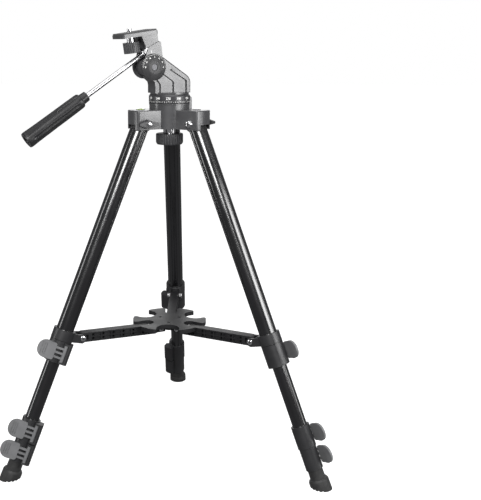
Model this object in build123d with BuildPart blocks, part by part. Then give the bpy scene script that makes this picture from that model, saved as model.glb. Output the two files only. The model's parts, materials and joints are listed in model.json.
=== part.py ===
"""Folding tripod with a two-way tilt head, four-section legs and a spreader tray.

Millimetres, +Z up. The soles rest on Z = 0, and the origin is the bottom centre of
the whole object's box. The tripod's own axis is vertical and stands AXIS_Y from it.
"""

import os
from math import atan2, cos, degrees, radians, sin, sqrt, tan

from build123d import *

os.makedirs("parts", exist_ok=True)

# ---------------------------------------------------------------- driving dimensions
AXIS_Y = -62.66  # the tripod's axis, from the centre of the object's box
RUNNING = 0.08  # radial play of a shaft or tube in its guide
GAP = 0.3  # play between pieces that only pass each other

# legs
LEGS = {"left": 210, "right": 330, "rear": 90}  # direction of each leg, degrees
SPLAY = 23.04  # leg angle from the vertical
PIVOT_R, PIVOT_Z = 43.0, 483.5
TUBE_R = (12.25, 10.0, 7.9, 5.9)  # outer radii, thick to thin
TUBE_WALL = 1.1
HEAD_R, HEAD_HALF = 11.8, 10.5  # round head that turns on the leg's pivot bolt
TUBE_TOP = (5.0, 133.0, 164.0, 185.0)  # distances down the leg from its pivot
COLLAR_TOP, COLLAR_LENGTH = 303.0, 14.5
CLAMP_TOP = (318.0, 436.0, 467.5)
CLAMP_LENGTH = 31.0
CLAMP_GRIP = 21.0  # how much of a clamp sits on the tube above it
CLAMP_R = (15.2, 12.8, 11.9)
FOOT_TOP = 499.0
BRACE_PIN_X, BRACE_PIN_S = -26.0, 307.5  # outer brace pin, in the leg's own frame
LEVER_TURN = -25.0  # direction a shut lever points, from straight outward

# hub
HUB_BOTTOM, HUB_TOP, LIP_TOP = 475.5, 501.5, 509.5
BARREL_R, LIP_R = 28.0, 28.6
ARM_WIDTH, ARM_REACH, ARM_TIP = 35.0, 55.0, 60.0
BOLT_R = 3.0
SPINDLE_R = 8.0

# head
YOKE_DIRECTION = 210.0  # the way the yoke leans
RING_TOP = 521.8
TILT_U, TILT_Z = 32.0, 558.5  # the tilt axis, from the tripod's axis
REST_TILT = 8.35  # how far the platform nods forward at rest
YOKE_HALF = 12.0
PLATE_IN, PLATE_OUT = 13.7, 16.2  # the bracket's side plates, either side of the yoke
DISC_R = 17.5
PLATFORM_TOP, PLATFORM_THICK = 47.2, 5.0
PLATFORM_BACK, PLATFORM_FRONT = -12.4, 38.6  # along the platform, from the tilt axis
SCREW_U = 20.4  # camera screw, along the platform
CAMERA_SCREW_R = 3.175
ROD_R = 3.3
ROD_FACE = (1.7, 19.3)  # where the rod leaves the bracket, from the tilt axis
ROD_DROP = 24.65  # handle below the plane of the platform
ROD_LENGTH, GRIP_LENGTH = 97.0, 101.0

# spreader
INNER_PIN_R, INNER_PIN_Z = 18.0, 185.5
BRACE_WIDTH, BRACE_HEIGHT = 13.4, 13.5
TRAY_R, TRAY_TOP, TRAY_DEEP = 53.5, 196.0, 6.0
EYEPIECE_R, EYEPIECE_PITCH = 16.3, 43.0
PIN_R = 2.0


# ---------------------------------------------------------------- frames
def spun(angle):
    """Unit vector in the horizontal plane."""
    return Vector(cos(radians(angle)), sin(radians(angle)), 0)


def flat(height, angle=0.0, out=0.0):
    """Horizontal plane at a height, `out` from the tripod's axis, X turned to `angle`."""
    origin = Vector(0, AXIS_Y, height) + spun(angle) * out
    return Plane(origin=origin, x_dir=spun(angle), z_dir=(0, 0, 1))


def side_plane(angle, offset=0.0):
    """Upright plane through the axis: X along `angle`, Y up, shifted to its left by `offset`."""
    aside = spun(angle + 90)
    return Plane(
        origin=Vector(0, AXIS_Y, 0) + aside * offset, x_dir=spun(angle), z_dir=-aside
    )


def down_leg(angle, distance, turn=0.0):
    """Plane across a leg, `distance` below its pivot: X outward, Y to the left, Z up the leg."""
    lean = radians(SPLAY)
    out, up = spun(angle), Vector(0, 0, 1)
    across = out * cos(lean) + up * sin(lean)
    along = up * cos(lean) - out * sin(lean)
    left = along.cross(across)
    start = Vector(0, AXIS_Y, PIVOT_Z) + out * PIVOT_R
    x_dir = across * cos(radians(turn)) + left * sin(radians(turn))
    return Plane(origin=start - along * distance, x_dir=x_dir, z_dir=along)


def leg_side(angle, offset=0.0):
    """Plane along a leg through its pivot: X outward, Y up the leg, shifted left by `offset`."""
    across = down_leg(angle, 0)
    return Plane(
        origin=across.origin + across.y_dir * offset,
        x_dir=across.x_dir,
        z_dir=-across.y_dir,
    )


def tilt_side(offset=0.0):
    """Upright plane on the tilt axis in the platform's frame: X forward, Y up from it."""
    forward, aside = spun(YOKE_DIRECTION), spun(YOKE_DIRECTION + 90)
    nod = radians(REST_TILT)
    centre = Vector(0, AXIS_Y, TILT_Z) + forward * TILT_U
    ahead = forward * cos(nod) - Vector(0, 0, 1) * sin(nod)
    return Plane(origin=centre + aside * offset, x_dir=ahead, z_dir=-aside)


def platform_plane(rise, ahead=0.0):
    """Plane parallel to the platform, `rise` above the tilt axis, X forward."""
    base = tilt_side()
    origin = base.origin + base.y_dir * rise + base.x_dir * ahead
    return Plane(origin=origin, x_dir=base.x_dir, z_dir=base.y_dir)


def rod_plane(distance):
    """Plane across the handle rod, `distance` out from the bracket's front face."""
    base = tilt_side()
    drop = radians(ROD_DROP)
    along = base.x_dir * cos(drop) - base.y_dir * sin(drop)
    start = base.origin + base.x_dir * ROD_FACE[0] + base.y_dir * ROD_FACE[1]
    return Plane(origin=start + along * distance, x_dir=base.z_dir, z_dir=along)


def finish(name, part):
    """Label a finished piece and write it out."""
    part.label = name
    export_step(part, f"parts/{name}.step")


# ---------------------------------------------------------------- hub
with BuildPart() as hub_spider:
    half = ARM_WIDTH / 2
    for angle in LEGS.values():
        with BuildSketch(flat(HUB_BOTTOM, angle)):
            with BuildLine():
                Polyline((ARM_REACH, half), (0, half), (0, -half), (ARM_REACH, -half))
                ThreePointArc((ARM_REACH, -half), (ARM_TIP, 0), (ARM_REACH, half))
            make_face()
        extrude(amount=HUB_TOP - HUB_BOTTOM)
    corners = hub_spider.edges().filter_by(Axis.Z)
    axis_point = Vector(0, AXIS_Y, 0)
    far = [e for e in corners if (e.center() - axis_point).cross(Vector(0, 0, 1)).length > ARM_REACH]
    fillet(far, radius=4.0)
    fillet(hub_spider.faces().sort_by(Axis.Z)[-1].edges(), radius=1.6)
    with BuildSketch(flat(HUB_BOTTOM)):
        Circle(BARREL_R)
    extrude(amount=LIP_TOP - HUB_BOTTOM)
    with BuildSketch(flat(LIP_TOP - 1.8)):
        Circle(LIP_R)
    extrude(amount=1.8)
    # bore for the pan spindle
    with BuildSketch(flat(HUB_BOTTOM)):
        Circle(SPINDLE_R + RUNNING)
    extrude(amount=LIP_TOP - HUB_BOTTOM, mode=Mode.SUBTRACT)
    for angle in LEGS.values():
        # housing for the leg's head, open below, with a notch in the end wall
        with BuildSketch(flat(HUB_BOTTOM, angle)):
            with Locations(((29.6 + 57.2) / 2, 0)):
                RectangleRounded(57.2 - 29.6, 25.4, 3.0)
        extrude(amount=21.0, mode=Mode.SUBTRACT)
        with BuildSketch(flat(HUB_BOTTOM, angle)):
            with Locations((55.0, 0)):
                Rectangle(14.0, 23.4)
        extrude(amount=6.8, mode=Mode.SUBTRACT)
        with BuildSketch(side_plane(angle)):
            with Locations((PIVOT_R, PIVOT_Z)):
                Circle(BOLT_R)
        extrude(amount=ARM_WIDTH, both=True, mode=Mode.SUBTRACT)
    # seats for the level and the compass
    for angle in (LEGS["left"], LEGS["right"]):
        with BuildSketch(flat(HUB_TOP - 2.5, angle, 44.0)):
            Circle(6.2)
        extrude(amount=2.5, mode=Mode.SUBTRACT)
    # index tab that stands behind the scale ring
    with BuildSketch(side_plane(30.0)):
        with BuildLine():
            Polyline((27.0, HUB_TOP - 6), (33.0, HUB_TOP - 6), (33.0, 515.0))
            RadiusArc((33.0, 515.0), (29.4, 518.5), -4.0)
            Polyline((29.4, 518.5), (29.4, HUB_TOP), (27.0, HUB_TOP), (27.0, HUB_TOP - 6))
        make_face()
    extrude(amount=4.0, both=True)
finish("hub_spider", hub_spider.part)

with BuildPart() as leg_pivot_bolts:
    for angle in LEGS.values():
        half = ARM_WIDTH / 2
        with BuildSketch(side_plane(angle, -half)):
            with Locations((PIVOT_R, PIVOT_Z)):
                Circle(BOLT_R)
        extrude(amount=-(ARM_WIDTH + 12.4))
        with BuildSketch(side_plane(angle, -half)):
            with Locations((PIVOT_R, PIVOT_Z)):
                Circle(5.2)
        extrude(amount=3.2, taper=24)
finish("leg_pivot_bolts", leg_pivot_bolts.part)

for side, angle in LEGS.items():
    with BuildPart() as wing_nut:
        outer_face = ARM_WIDTH / 2 + GAP
        with BuildSketch(side_plane(angle, outer_face)):
            with Locations((PIVOT_R, PIVOT_Z)):
                Circle(6.0)
        extrude(amount=-10.6, taper=4)
        with BuildSketch(side_plane(angle, outer_face + 5.6)):
            with BuildLine():
                Polyline(
                    (PIVOT_R - 14.5, PIVOT_Z - 1.6), (PIVOT_R - 14.5, PIVOT_Z + 1.6),
                    (PIVOT_R, PIVOT_Z + 5.4), (PIVOT_R + 14.5, PIVOT_Z + 1.6),
                    (PIVOT_R + 14.5, PIVOT_Z - 1.6), (PIVOT_R, PIVOT_Z - 5.4),
                    close=True,
                )
            make_face()
            fillet(vertices(), radius=1.2)
        extrude(amount=-4.6)
        with BuildSketch(side_plane(angle, outer_face - 1.0)):
            with Locations((PIVOT_R, PIVOT_Z)):
                Circle(BOLT_R + RUNNING)
        extrude(amount=-12.0, mode=Mode.SUBTRACT)
    finish(f"wing_nut_{side}", wing_nut.part)

for name, angle in (("bubble_level", LEGS["left"]), ("compass", LEGS["right"])):
    with BuildPart() as insert:
        with BuildSketch(flat(HUB_TOP - 2.5, angle, 44.0)):
            Circle(6.2)
        extrude(amount=3.1)
        fillet(insert.edges().sort_by(Axis.Z)[-1], radius=0.5)
    finish(name, insert.part)

# ---------------------------------------------------------------- pan lock
with BuildPart() as pan_spindle:
    with BuildSketch(flat(455.5)):
        Circle(SPINDLE_R)
    extrude(amount=64.0)
    chamfer(pan_spindle.edges().group_by(Axis.Z)[0], length=1.0)
finish("pan_spindle", pan_spindle.part)

KNOB_R, KNOB_BOTTOM, KNOB_HEIGHT, KNOB_RIBS = 19.0, 452.8, 15.0, 32

with BuildPart() as pan_lock_knob:
    with BuildSketch(flat(KNOB_BOTTOM)):
        Circle(KNOB_R)
    extrude(amount=KNOB_HEIGHT)
    chamfer(pan_lock_knob.edges().group_by(Axis.Z)[0], length=2.6, length2=1.6)
    fillet(pan_lock_knob.edges().group_by(Axis.Z)[-1], radius=1.2)
    with BuildSketch(flat(KNOB_BOTTOM)):
        with PolarLocations(KNOB_R + 0.25, KNOB_RIBS):
            Circle(1.15)
    extrude(amount=KNOB_HEIGHT, mode=Mode.SUBTRACT)
    with BuildSketch(flat(KNOB_BOTTOM + 2.4)):
        Circle(SPINDLE_R + RUNNING)
    extrude(amount=KNOB_HEIGHT, mode=Mode.SUBTRACT)
finish("pan_lock_knob", pan_lock_knob.part)

# ---------------------------------------------------------------- scale ring and yoke
RING_BOTTOM = LIP_TOP + GAP
RING_IN = 24.0

with BuildPart() as azimuth_scale_ring:
    with BuildSketch(side_plane(0)):
        with BuildLine():
            Polyline(
                (RING_IN, RING_BOTTOM), (LIP_R - 0.5, RING_BOTTOM),
                (LIP_R, RING_BOTTOM + 0.5), (LIP_R, RING_TOP - 2.0),
                (LIP_R - 1.8, RING_TOP), (RING_IN, RING_TOP), close=True,
            )
        make_face()
    revolve(axis=Axis((0, AXIS_Y, 0), (0, 0, 1)))
finish("azimuth_scale_ring", azimuth_scale_ring.part)

YOKE_BASE = RING_TOP + GAP
YOKE_FLOOR = YOKE_BASE + 2.4
BACK_U, FRONT_U = -27.0, 27.2
SLANT = 33.7  # rise of the yoke's back
TONGUE_R = 12.6
SHOULDER_U = 16.5  # where the slanted back ends behind the bracket
BACK_BEND_Z = YOKE_BASE + 21.4
BEND_RUN = 7.0  # how far the back's bend reaches each way from its corner

with BuildPart() as pan_yoke:
    # turned seat inside the scale ring, and the flange that rests over it
    with BuildSketch(flat(RING_BOTTOM)):
        Circle(RING_IN - GAP)
    extrude(amount=YOKE_BASE - RING_BOTTOM + 0.4)
    with BuildSketch(flat(YOKE_BASE)):
        Circle(LIP_R - 1.8)
    extrude(amount=YOKE_FLOOR - YOKE_BASE)
    # dog-leg body that carries the tilt axis
    with BuildSketch(side_plane(YOKE_DIRECTION)):
        shoulder_z = BACK_BEND_Z + (SHOULDER_U - BACK_U) * tan(radians(SLANT))
        slant = radians(SLANT)
        with BuildLine():
            arc_start = (BACK_U, BACK_BEND_Z - BEND_RUN)
            arc_end = (BACK_U + BEND_RUN * cos(slant), BACK_BEND_Z + BEND_RUN * sin(slant))
            Line((BACK_U, YOKE_FLOOR - 1), arc_start)
            TangentArc(arc_start, arc_end, tangent=(0, 1))
            Polyline(
                arc_end, (SHOULDER_U, shoulder_z), (TILT_U - 8.0, TILT_Z + 9.0),
                (TILT_U, TILT_Z), (TILT_U + 3.2, TILT_Z - 14.0), (FRONT_U + 1.0, TILT_Z - 20.0),
                (FRONT_U, TILT_Z - 24.0), (FRONT_U, YOKE_FLOOR - 1), (BACK_U, YOKE_FLOOR - 1),
            )
        make_face()
        with Locations((TILT_U, TILT_Z)):
            Circle(TONGUE_R)
    extrude(amount=YOKE_HALF, both=True)
    # bevel both edges of the slanted back
    slanted = pan_yoke.edges().filter_by(
        lambda e: e.geom_type == GeomType.LINE
        and e.length > 20
        and BACK_BEND_Z < e.center().Z < shoulder_z
        and abs(e.tangent_at(0).Z) > 0.3
        and abs(e.tangent_at(0).Z) < 0.9
    )
    chamfer(slanted, length=1.8)
    # three raised dog-leg ribs on each face
    RIBS = (
        ((-21.3, YOKE_FLOOR - 0.5), (-21.3, 541.0), (2.6, 555.4)),
        ((-1.5, YOKE_FLOOR - 0.5), (-1.5, 539.6), (15.6, 551.0)),
        ((18.4, YOKE_FLOOR - 0.5), (18.4, 536.2), (23.6, 542.6)),
    )
    for face_at, rise in ((YOKE_HALF, -1.4), (-YOKE_HALF, 1.4)):
        for path in RIBS:
            # sunk line along each rib's front side
            beside = [(u + 2.3, z - 0.7) for u, z in path]
            with BuildSketch(side_plane(YOKE_DIRECTION, face_at)):
                with BuildLine():
                    FilletPolyline(*beside, radius=4.5)
                trace(line_width=1.9)
            extrude(amount=-rise, mode=Mode.SUBTRACT)
        for path in RIBS:
            with BuildSketch(side_plane(YOKE_DIRECTION, face_at)):
                with BuildLine():
                    FilletPolyline(*path, radius=4.5)
                trace(line_width=2.6)
            extrude(amount=rise)
    with BuildSketch(flat(RING_BOTTOM - 1)):
        Circle(SPINDLE_R)
    extrude(amount=11.0, mode=Mode.SUBTRACT)
    with BuildSketch(side_plane(YOKE_DIRECTION)):
        with Locations((TILT_U, TILT_Z)):
            Circle(BOLT_R)
    extrude(amount=YOKE_HALF + 2, both=True, mode=Mode.SUBTRACT)
finish("pan_yoke", pan_yoke.part)

TILT_AXIS = Axis(tilt_side().origin, spun(YOKE_DIRECTION + 90))

with BuildPart() as tilt_scale_disc:
    # near side: coned dial; far side: a plain cover of the same size
    with BuildSketch(flat(TILT_Z, YOKE_DIRECTION, TILT_U)):
        inner = PLATE_OUT + 0.2
        with BuildLine():
            Polyline(
                (BOLT_R, inner), (DISC_R, inner), (DISC_R, inner + 1.6),
                (9.6, inner + 4.8), (8.6, inner + 4.8), (8.2, inner + 4.4), (4.4, inner + 4.4),
                (4.4, inner + 1.4), (BOLT_R, inner + 1.4), close=True,
            )
        make_face()
        with BuildLine():
            Polyline(
                (BOLT_R, -inner), (16.0, -inner), (16.0, -inner - 1.0),
                (13.5, -inner - 2.6), (BOLT_R, -inner - 2.6), close=True,
            )
        make_face()
    revolve(axis=TILT_AXIS)
finish("tilt_scale_disc", tilt_scale_disc.part)

with BuildPart() as tilt_pivot_bolt:
    with BuildSketch(tilt_side(PLATE_OUT + 1.6)):
        Circle(4.0)
    extrude(amount=-2.2)
    with BuildSketch(tilt_side(PLATE_OUT + 1.6)):
        Circle(BOLT_R)
    extrude(amount=2 * PLATE_OUT + 5.0)
    with BuildSketch(tilt_side(-PLATE_OUT - 2.8)):
        RegularPolygon(5.5, 6)
    extrude(amount=3.0)
finish("tilt_pivot_bolt", tilt_pivot_bolt.part)

# ---------------------------------------------------------------- tilt bracket
PLATE_OUTLINE = (
    (-12.4, 44.0), (-12.4, 33.4), (-15.8, 30.8), (-15.8, 8.0), (-14.0, -3.0),
    (12.0, 8.0), (4.5, 24.5), (6.5, 26.6), (11.4, 44.0),
)
BLOCK_CLEAR = TONGUE_R + 0.5
PLATFORM_MIDDLE = (PLATFORM_FRONT + PLATFORM_BACK) / 2

with BuildPart() as tilt_bracket:
    for low, high in ((PLATE_IN, PLATE_OUT), (-PLATE_OUT, -PLATE_IN)):
        with BuildSketch(tilt_side(high)):
            with BuildLine():
                Polyline(*PLATE_OUTLINE, close=True)
            make_face()
            Circle(16.0)
        extrude(amount=high - low)
    # solid gusset under the platform, and the cross block that takes the rod
    with BuildSketch(tilt_side()):
        with BuildLine():
            Polyline((-12.4, 44), (-12.4, 33.4), (6.5, 26.6), (11.4, 44), close=True)
        make_face()
        with BuildLine():
            Polyline((-7.0, 33.0), (-7.0, 9.0), (-2.6, 10.0), (4.5, 25.5), (6.0, 29.0), close=True)
        make_face()
        Circle(BLOCK_CLEAR, mode=Mode.SUBTRACT)
    extrude(amount=PLATE_IN + 0.5, both=True)
    # platform
    with BuildSketch(platform_plane(PLATFORM_TOP - PLATFORM_THICK, PLATFORM_MIDDLE)):
        RectangleRounded(PLATFORM_FRONT - PLATFORM_BACK, 38.0, 2.4)
    extrude(amount=PLATFORM_THICK)
    # slanting groove across each side plate
    for face_at, depth in ((PLATE_OUT, 1.3), (-PLATE_OUT, -1.3)):
        with BuildSketch(tilt_side(face_at)):
            with BuildLine():
                Line((-14.6, 33.6), (7.6, 25.8))
            trace(line_width=2.0)
        extrude(amount=depth, mode=Mode.SUBTRACT)
    with BuildSketch(platform_plane(PLATFORM_TOP - PLATFORM_THICK, SCREW_U)):
        Circle(CAMERA_SCREW_R + 0.3)
    extrude(amount=PLATFORM_THICK, mode=Mode.SUBTRACT)
    with BuildSketch(rod_plane(4.0)):
        Circle(ROD_R + RUNNING)
    extrude(amount=-14.0, mode=Mode.SUBTRACT)
    with BuildSketch(tilt_side()):
        Circle(BOLT_R + RUNNING)
    extrude(amount=PLATE_OUT + 2, both=True, mode=Mode.SUBTRACT)
finish("tilt_bracket", tilt_bracket.part)

PAD_THICK = 1.6

with BuildPart() as platform_pad:
    with BuildSketch(platform_plane(PLATFORM_TOP, PLATFORM_MIDDLE)):
        RectangleRounded(PLATFORM_FRONT - PLATFORM_BACK - 1.6, 36.4, 2.0)
        with Locations((SCREW_U - PLATFORM_MIDDLE, 0)):
            Circle(4.4, mode=Mode.SUBTRACT)
    extrude(amount=PAD_THICK)
    # lengthwise grip grooves
    with BuildSketch(platform_plane(PLATFORM_TOP + PAD_THICK - 0.6, PLATFORM_MIDDLE)):
        with GridLocations(0, 4.2, 1, 8):
            Rectangle(43.0, 1.2)
    extrude(amount=1.0, mode=Mode.SUBTRACT)
finish("platform_pad", platform_pad.part)

PLATE_KNOB_BASE = PLATFORM_TOP - 25.6

with BuildPart() as camera_screw:
    with BuildSketch(platform_plane(PLATE_KNOB_BASE + 2.6, SCREW_U)):
        Circle(CAMERA_SCREW_R)
    extrude(amount=PLATFORM_TOP + 6.6 - PLATE_KNOB_BASE - 2.6)
    with BuildSketch(platform_plane(PLATE_KNOB_BASE + 19.0, SCREW_U)):
        Circle(CAMERA_SCREW_R + 0.2)
    extrude(amount=PLATFORM_TOP + PAD_THICK - PLATE_KNOB_BASE - 19.0)
    chamfer(camera_screw.edges().sort_by(SortBy.DISTANCE, reverse=True)[:1], length=0.5)
    with BuildSketch(platform_plane(PLATE_KNOB_BASE + 14.2, SCREW_U)):
        Circle(5.2)
    extrude(amount=5.9)
finish("camera_screw", camera_screw.part)

PLATE_KNOB_R, PLATE_KNOB_RIBS = 11.2, 26

with BuildPart() as plate_screw_knob:
    with BuildSketch(platform_plane(PLATE_KNOB_BASE, SCREW_U)):
        Circle(PLATE_KNOB_R)
        with PolarLocations(PLATE_KNOB_R + 0.2, PLATE_KNOB_RIBS):
            Circle(0.8, mode=Mode.SUBTRACT)
    extrude(amount=14.2)
    with BuildSketch(platform_plane(PLATE_KNOB_BASE + 2.6, SCREW_U)):
        Circle(CAMERA_SCREW_R)
    extrude(amount=12.0, mode=Mode.SUBTRACT)
finish("plate_screw_knob", plate_screw_knob.part)

# ---------------------------------------------------------------- handle
with BuildPart() as handle_rod:
    with BuildSketch(rod_plane(-8.0)):
        Circle(ROD_R)
    extrude(amount=8.0 + 4.6 + ROD_LENGTH + 40.0)
    with BuildSketch(rod_plane(0.2)):
        RegularPolygon(5.2, 6)
    extrude(amount=4.4)
finish("handle_rod", handle_rod.part)

GRIP_START = 4.6 + ROD_LENGTH

with BuildPart() as handle_grip:
    grip_frame = rod_plane(GRIP_START)
    long_plane = Plane(origin=grip_frame.origin, x_dir=grip_frame.z_dir, z_dir=-grip_frame.x_dir)
    with BuildSketch(long_plane):
        with BuildLine():
            Polyline((0, 0), (0, 6.9), (10.5, 7.5), (11.5, 9.4))
            Spline((11.5, 9.4), (18.0, 10.4), (60.0, 10.3), (96.0, 11.0))
            Polyline((96.0, 11.0), (GRIP_LENGTH, 10.6), (GRIP_LENGTH, 0), (0, 0))
        make_face()
    revolve(axis=Axis(grip_frame.origin, grip_frame.z_dir))
    with BuildSketch(grip_frame):
        Circle(ROD_R)
    extrude(amount=40.0, mode=Mode.SUBTRACT)
    # hollow end
    with BuildSketch(rod_plane(GRIP_START + GRIP_LENGTH)):
        Circle(6.5)
    extrude(amount=-30.0, mode=Mode.SUBTRACT)
    # lengthwise flutes round the grip, leaving one plain panel
    with BuildSketch(rod_plane(GRIP_START + 20.0)):
        with PolarLocations(11.3, 12, start_angle=60, angular_range=280):
            Circle(1.5)
    extrude(amount=70.0, mode=Mode.SUBTRACT)
finish("handle_grip", handle_grip.part)

# ---------------------------------------------------------------- legs
def tube_end(index):
    """Where each tube stops, down the leg: inside its clamp, or in the foot."""
    return CLAMP_TOP[index] + CLAMP_GRIP if index < 3 else 514.0


def drawn_tube(angle, index):
    """The tube of one section, with grooves drawn along its inner side."""
    radius, top, end = TUBE_R[index], TUBE_TOP[index], tube_end(index)
    with BuildPart() as tube:
        with BuildSketch(down_leg(angle, end)):
            Circle(radius)
            if index < 2:
                for turn in (118, 140, 162, 198, 220, 242):
                    spot = (radius * cos(radians(turn)), radius * sin(radians(turn)))
                    with Locations(spot):
                        Circle(0.55, mode=Mode.SUBTRACT)
            Circle(radius - TUBE_WALL, mode=Mode.SUBTRACT)
        extrude(amount=end - top)
    return tube.part


def slide_bush(angle, index):
    """The slide bush at the top of an inner tube."""
    with BuildPart() as bush:
        with BuildSketch(down_leg(angle, TUBE_TOP[index] + 18.0)):
            Circle(TUBE_R[index - 1] - TUBE_WALL - RUNNING)
            Circle(TUBE_R[index], mode=Mode.SUBTRACT)
        extrude(amount=18.0)
    return bush.part


def make_upper_tube(side, angle):
    with BuildPart() as head:
        # plug in the tube, shoulder, and the round head that turns on the pivot bolt
        with BuildSketch(down_leg(angle, 34.0)):
            Circle(TUBE_R[0] - TUBE_WALL)
        extrude(amount=34.0 - TUBE_TOP[0])
        with BuildSketch(down_leg(angle, TUBE_TOP[0])):
            Circle(TUBE_R[0])
        extrude(amount=TUBE_TOP[0])
        with BuildSketch(leg_side(angle)):
            Circle(HEAD_R)
        extrude(amount=HEAD_HALF, both=True)
        with BuildSketch(leg_side(angle)):
            Circle(BOLT_R + RUNNING)
        extrude(amount=TUBE_R[0] + 1, both=True, mode=Mode.SUBTRACT)
    finish(f"{side}_upper_tube", Compound(children=[drawn_tube(angle, 0), head.part]))


def make_collar(side, angle):
    ear_in, ear_out = 7.1, 10.0
    with BuildPart() as collar:
        with BuildSketch(down_leg(angle, COLLAR_TOP + COLLAR_LENGTH)):
            Circle(15.4)
        extrude(amount=COLLAR_LENGTH)
        for start in (ear_out, -ear_in):
            with BuildSketch(leg_side(angle, start)):
                with BuildLine():
                    top, low = -COLLAR_TOP - 1.0, -COLLAR_TOP - COLLAR_LENGTH
                    pin = (BRACE_PIN_X, -BRACE_PIN_S)
                    Polyline(
                        (-8.0, top), (-19.0, top), (pin[0] - 2, pin[1] + 6.0),
                        (pin[0] - 6, pin[1] + 2), (pin[0] - 6, pin[1] - 3),
                        (pin[0] - 2, pin[1] - 7), (-8.0, low), close=True,
                    )
                make_face()
                fillet(vertices(), radius=1.0)
            extrude(amount=ear_out - ear_in)
        with BuildSketch(down_leg(angle, COLLAR_TOP + COLLAR_LENGTH)):
            Circle(TUBE_R[0])
        extrude(amount=COLLAR_LENGTH, mode=Mode.SUBTRACT)
        with BuildSketch(leg_side(angle)):
            with Locations((BRACE_PIN_X, -BRACE_PIN_S)):
                Circle(PIN_R)
        extrude(amount=ear_out + 1, both=True, mode=Mode.SUBTRACT)
    with BuildPart() as pin_part:
        with BuildSketch(leg_side(angle)):
            with Locations((BRACE_PIN_X, -BRACE_PIN_S)):
                Circle(PIN_R)
        extrude(amount=ear_out + 0.2, both=True)
        for face_at, way in ((ear_out + 0.05, -1), (-ear_out - 0.05, 1)):
            with BuildSketch(leg_side(angle, face_at)):
                with Locations((BRACE_PIN_X, -BRACE_PIN_S)):
                    Circle(3.0)
            extrude(amount=1.0 * way)
    finish(f"{side}_leg_collar", Compound(children=[collar.part, pin_part.part]))


HINGE_E = -10.5  # lever hinge, along the lever's own direction
BARREL_OUT = 2.5
HINGE_PIN_R = 1.2


def hinge_n(index):
    """Distance of the lever's hinge from the tube's axis plane."""
    return CLAMP_R[index] + 1.6


def make_clamp(side, angle, index):
    top, radius = CLAMP_TOP[index], CLAMP_R[index]
    base = down_leg(angle, top + CLAMP_LENGTH, LEVER_TURN)
    out = hinge_n(index)
    with BuildPart() as clamp:
        with BuildSketch(base):
            Circle(radius)
        extrude(amount=CLAMP_LENGTH)
        with BuildSketch(base.offset(1.0)):
            with BuildLine():
                Polyline(
                    (HINGE_E - 8.2, 1.0), (HINGE_E - 8.2, out - 1.0),
                    (HINGE_E - 5.6, out + 2.4), (HINGE_E + 1.0, out + 2.4),
                    (HINGE_E + 3.2, out), (HINGE_E + 4.0, 4.0), (0, 0), close=True,
                )
            make_face()
        extrude(amount=CLAMP_LENGTH - 2.0)
        # room for the lever's hinge barrel between two end lugs
        with BuildSketch(base.offset(3.4)):
            with Locations((HINGE_E, out)):
                Circle(BARREL_OUT + GAP)
            with BuildLine():
                Polyline(
                    (HINGE_E, out - BARREL_OUT - GAP), (HINGE_E + 8.0, out - BARREL_OUT - GAP),
                    (HINGE_E + 8.0, out + 8.0), (HINGE_E - 3.4, out + 8.0),
                    (HINGE_E - 3.4, out), (HINGE_E, out), close=True,
                )
            make_face()
        extrude(amount=CLAMP_LENGTH - 6.8, mode=Mode.SUBTRACT)
        with BuildSketch(base.offset(1.0)):
            with Locations((HINGE_E, out)):
                Circle(HINGE_PIN_R)
        extrude(amount=CLAMP_LENGTH - 2.0, mode=Mode.SUBTRACT)
        # seat on the tube above, and guide for the tube below
        with BuildSketch(base.offset(CLAMP_LENGTH - CLAMP_GRIP)):
            Circle(TUBE_R[index])
        extrude(amount=CLAMP_GRIP, mode=Mode.SUBTRACT)
        with BuildSketch(base):
            Circle(TUBE_R[index + 1] + RUNNING)
        extrude(amount=CLAMP_LENGTH, mode=Mode.SUBTRACT)
    with BuildPart() as pin_part:
        with BuildSketch(base.offset(1.0)):
            with Locations((HINGE_E, out)):
                Circle(HINGE_PIN_R)
        extrude(amount=CLAMP_LENGTH - 2.0)
    finish(f"{side}_clamp_{index + 1}", Compound(children=[clamp.part, pin_part.part]))


def make_lever(side, angle, index):
    top, out = CLAMP_TOP[index], hinge_n(index)
    base = down_leg(angle, top + CLAMP_LENGTH, LEVER_TURN)
    middle = CLAMP_LENGTH / 2
    inner = CLAMP_R[index] + 1.4
    # plane of the paddle: X along the lever, Y up the leg
    face = Plane(
        origin=base.origin + base.z_dir * middle + base.y_dir * inner,
        x_dir=base.x_dir,
        z_dir=-base.y_dir,
    )
    with BuildPart() as lever:
        with BuildSketch(base.offset(3.6)):
            with Locations((HINGE_E, out)):
                Circle(BARREL_OUT)
        extrude(amount=CLAMP_LENGTH - 7.2)
        with BuildSketch(face):
            with Locations((14.5, 0)):
                RectangleRounded(25.0, 25.0, 11.6)
            with Locations((8.0, 0)):
                RectangleRounded(12.0, 24.0, 3.0)
        extrude(amount=-3.0)
        with BuildSketch(face):
            with Locations((-4.0, 0)):
                with GridLocations(0, 6.6, 1, 3):
                    Rectangle(2 * (HINGE_E * -1 - 4.0) + 1.0, 2.8)
        extrude(amount=-2.4)
        # grip grooves across the tip
        with BuildSketch(face.offset(-3.0)):
            with Locations((18.0, 0)):
                with GridLocations(2.9, 0, 3, 1):
                    Rectangle(1.1, 17.0)
        extrude(amount=1.2, mode=Mode.SUBTRACT)
        with BuildSketch(base):
            with Locations((HINGE_E, out)):
                Circle(HINGE_PIN_R + RUNNING)
        extrude(amount=CLAMP_LENGTH, mode=Mode.SUBTRACT)
    finish(f"{side}_lever_{index + 1}", lever.part)


def make_inner_tube(side, angle, index):
    pieces = [drawn_tube(angle, index), slide_bush(angle, index)]
    finish(f"{side}_tube_{index + 1}", Compound(children=pieces))


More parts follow.
